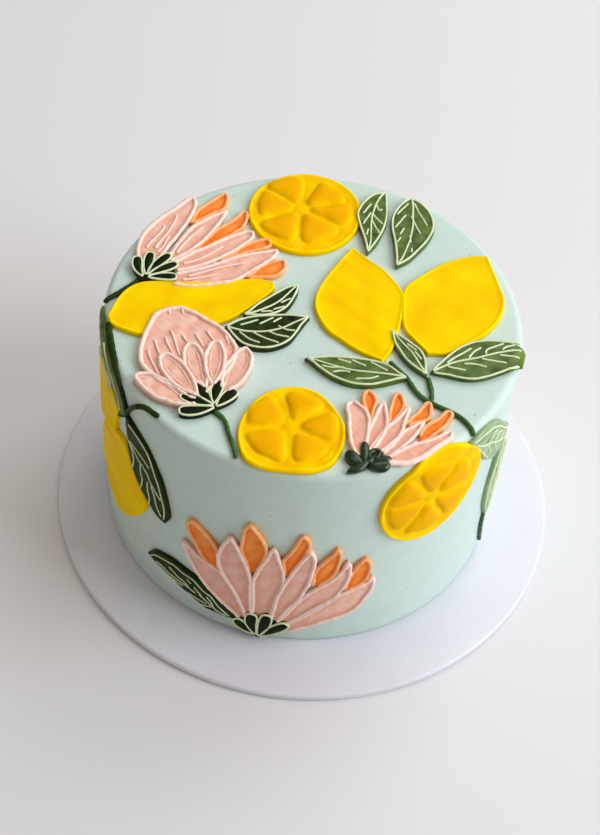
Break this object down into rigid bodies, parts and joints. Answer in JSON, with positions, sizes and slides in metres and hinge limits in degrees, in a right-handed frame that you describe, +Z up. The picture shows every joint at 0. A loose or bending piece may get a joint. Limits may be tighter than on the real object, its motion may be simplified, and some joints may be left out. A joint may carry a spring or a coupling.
{
  "type": "buttercream cake on a round cake board",
  "caption": "Tall round mint buttercream cake on a thin white cake board, decorated in relief with piped proteas, lemons, lemon slices and leaves.",
  "frame": {"origin": "middle of the cake board's underside", "axes": "+Z up, the front of the cake faces -Y"},
  "size_m": [0.203, 0.203, 0.1072],
  "materials": {
    "icing": "satin smoothed buttercream",
    "board": "white greaseproof foil paper on card",
    "lemon": "satin smoothed buttercream",
    "lemon_slice": "satin piped buttercream",
    "leaf": "satin piped buttercream",
    "sepal": "satin piped buttercream",
    "pink_petal": "satin piped buttercream",
    "orange_petal": "satin piped buttercream"
  },
  "bodies": {
    "root": {"cake_board": "board", "iced_cake": "icing", "back_left_leaf": "leaf", "back_protea_calyx": "sepal", "back_protea_petals": "pink_petal", "back_protea_stem": "sepal", "back_protea_tip_1": "orange_petal", "back_protea_tip_2": "orange_petal", "back_protea_tip_3": "orange_petal", "back_protea_tip_4": "orange_petal", "back_right_leaf": "leaf", "back_slice": "lemon_slice", "bud_body": "pink_petal", "bud_calyx": "sepal", "bud_petals": "pink_petal", "bud_stem": "leaf", "edge_slice": "lemon_slice", "edge_sprig_lower_leaf": "leaf", "edge_sprig_stem": "leaf", "edge_sprig_upper_leaf": "leaf", "front_protea_calyx": "sepal", "front_protea_leaf": "leaf", "front_protea_petals": "pink_petal", "front_protea_tip_1": "orange_petal", "front_protea_tip_2": "orange_petal", "front_protea_tip_3": "orange_petal", "front_protea_tip_4": "orange_petal", "front_protea_tip_5": "orange_petal", "front_slice": "lemon_slice", "leaf_by_bud_left": "leaf", "leaf_by_bud_right": "leaf", "left_lemon": "lemon", "left_lower_lemon": "lemon", "left_sprig_lower_leaf": "leaf", "left_sprig_stem": "sepal", "left_sprig_upper_leaf": "leaf", "left_upper_lemon": "lemon", "pair_left_leaf": "leaf", "pair_left_lemon": "lemon", "pair_middle_leaf": "leaf", "pair_right_leaf": "leaf", "pair_right_lemon": "lemon", "pair_stem": "leaf", "rear_lemon": "lemon", "rear_lower_leaf": "leaf", "rear_protea_calyx": "sepal", "rear_protea_petals": "pink_petal", "rear_protea_tip_1": "orange_petal", "rear_protea_tip_2": "orange_petal", "rear_protea_tip_3": "orange_petal", "rear_slice": "lemon_slice", "rear_stem": "leaf", "rear_upper_leaf": "leaf", "small_protea_calyx": "sepal", "small_protea_petals": "pink_petal", "small_protea_tip_1": "orange_petal", "small_protea_tip_2": "orange_petal", "small_protea_tip_3": "orange_petal", "small_protea_tip_4": "orange_petal"}
  },
  "joints": []
}
